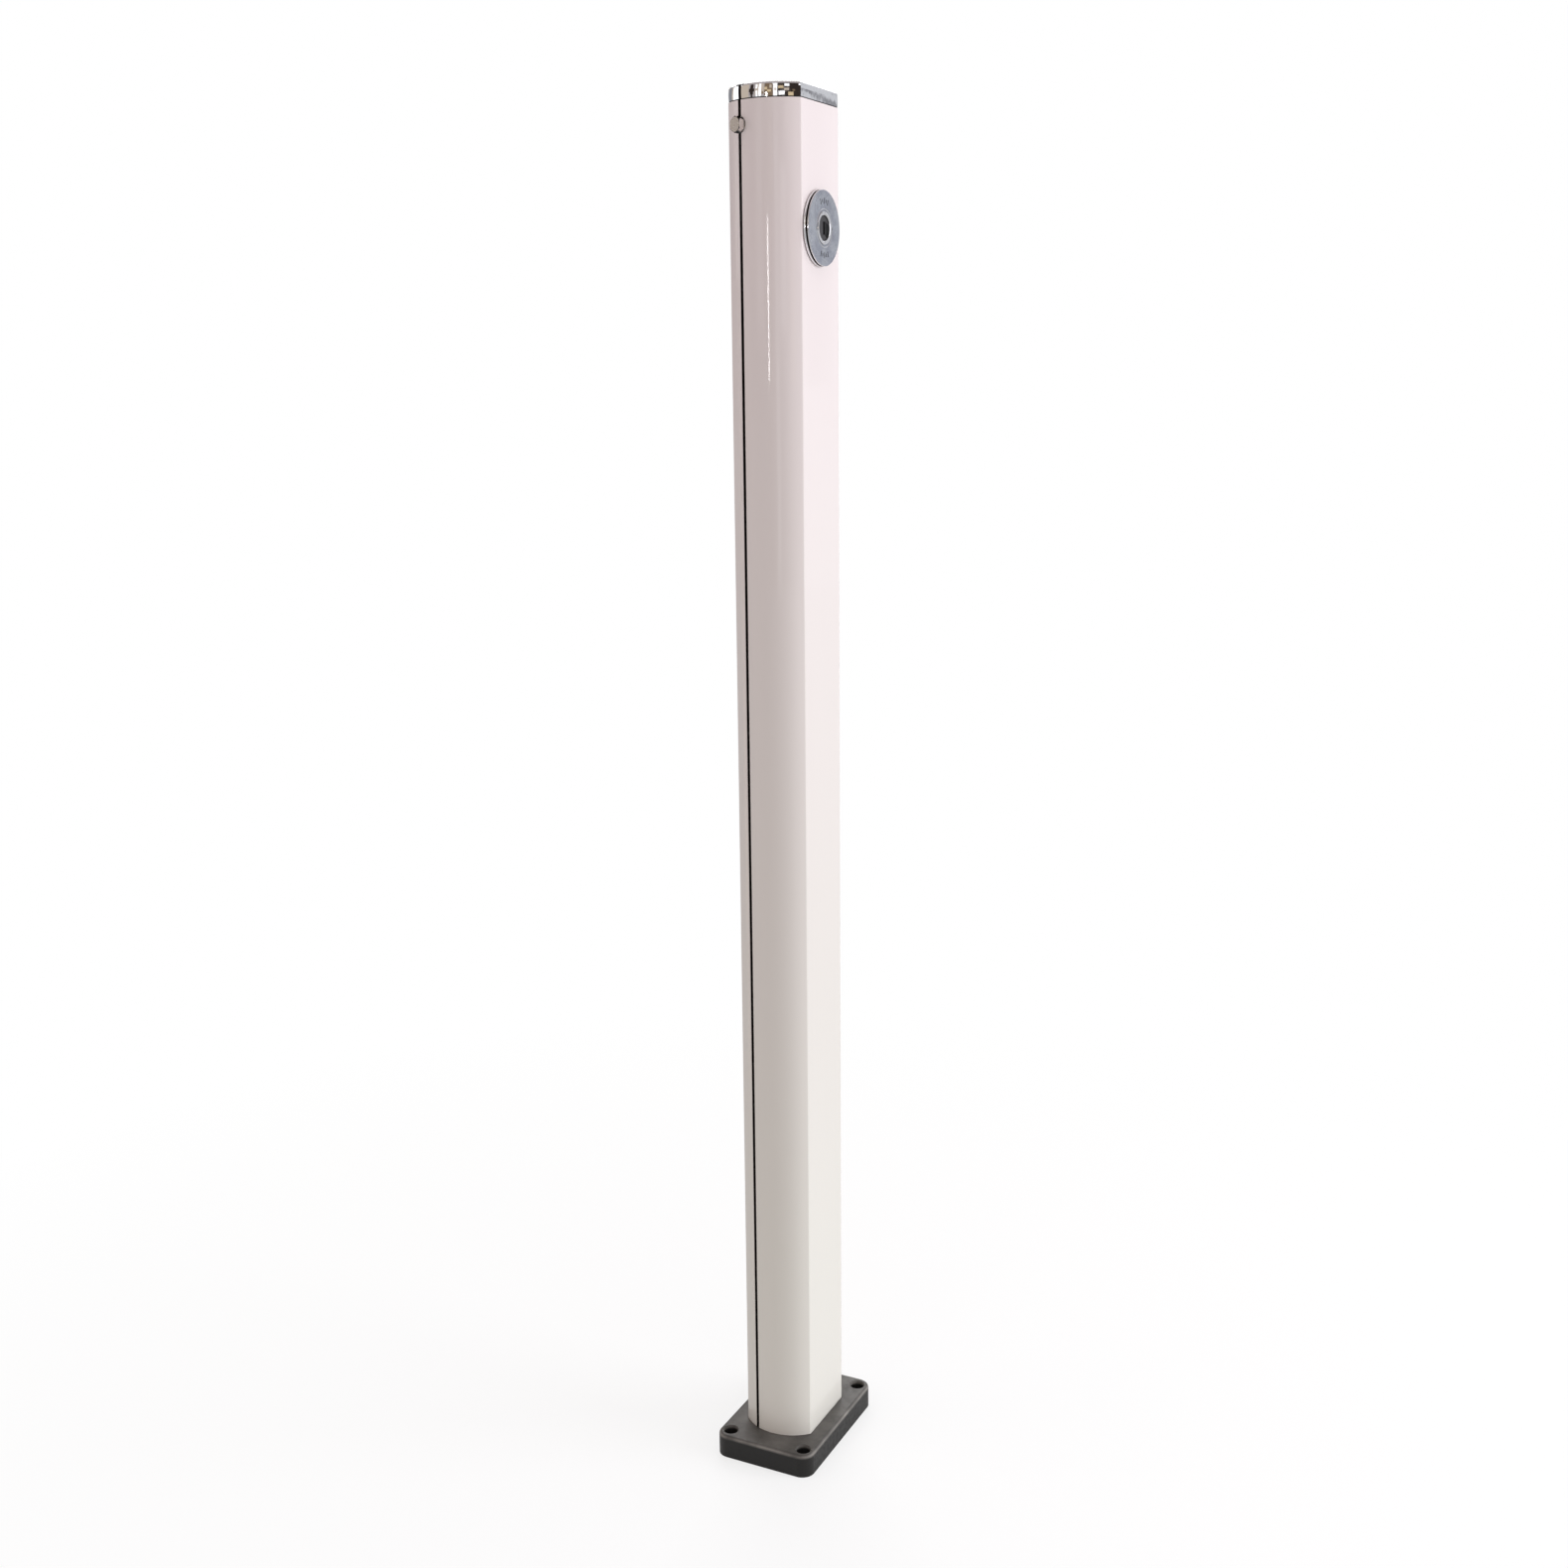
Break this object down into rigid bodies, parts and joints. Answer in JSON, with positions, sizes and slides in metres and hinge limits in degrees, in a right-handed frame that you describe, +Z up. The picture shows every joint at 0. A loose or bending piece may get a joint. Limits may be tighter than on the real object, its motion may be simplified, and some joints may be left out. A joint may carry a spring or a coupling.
{
  "type": "retractable bollard",
  "caption": "Slotted aluminium post on a bolted foot, with a key-locked carriage whose stud runs down the slot to lower a chain.",
  "frame": {"origin": "middle of the foot's underside, on the ground", "axes": "+Z up the post, -Y out of the slotted end, +X out of the lock's side"},
  "size_m": [0.08, 0.12, 1],
  "materials": {
    "foot_paint": "dark grey coated casting",
    "white_paint": "gloss warm white powder coat on extruded aluminium",
    "bright_chrome": "mirror polished",
    "satin_chrome": "satin face, polished edge",
    "dark_steel": "dark satin",
    "stud_steel": "satin stainless",
    "zinc_steel": "zinc plated",
    "black_rubber": "matt",
    "pale_nylon": "matt nylon",
    "plain_brass": "plain"
  },
  "bodies": {
    "post": {"base_plate": "foot_paint", "base_screws": "zinc_steel", "post_profile": "white_paint", "cap_gasket": "black_rubber", "top_cap": "bright_chrome", "cap_screws": "zinc_steel", "track_buffer": "black_rubber", "rosette_seal": "black_rubber", "rosette": "satin_chrome", "lock_barrel": "bright_chrome", "lock_washer": "zinc_steel", "lock_nut": "zinc_steel", "lock_case": "zinc_steel", "case_cover": "zinc_steel", "case_screws": "zinc_steel"},
    "carriage": {"carriage_block": "zinc_steel", "guide_pads": "pale_nylon", "hook_stud": "stud_steel", "stud_pin": "zinc_steel", "brake_pad": "pale_nylon", "brake_spring": "zinc_steel"},
    "plug": {"lock_plug": "dark_steel", "lock_wafers": "plain_brass", "plug_clip": "zinc_steel", "crank_arm": "zinc_steel", "crank_pin": "zinc_steel", "crank_screw": "zinc_steel"},
    "latch": {"latch_bolt": "zinc_steel"}
  },
  "joints": [
    {"name": "carriage_slide", "type": "slide", "parent": "post", "child": "carriage", "axis": [0, 0, -1], "range_m": [0, 0.868]},
    {"name": "plug_turn", "type": "hinge", "parent": "post", "child": "plug", "pos_m": [0, -0.003, 0.9094], "axis": [1, 0, 0], "range_deg": [0, 90]},
    {"name": "latch_slide", "type": "slide", "parent": "post", "child": "latch", "axis": [0, -1, 0], "range_m": [0, 0.0099]}
  ],
  "couplings": [
    {"joint": "latch_slide", "follows": "plug_turn", "m_per_rad": 0.0063}
  ]
}
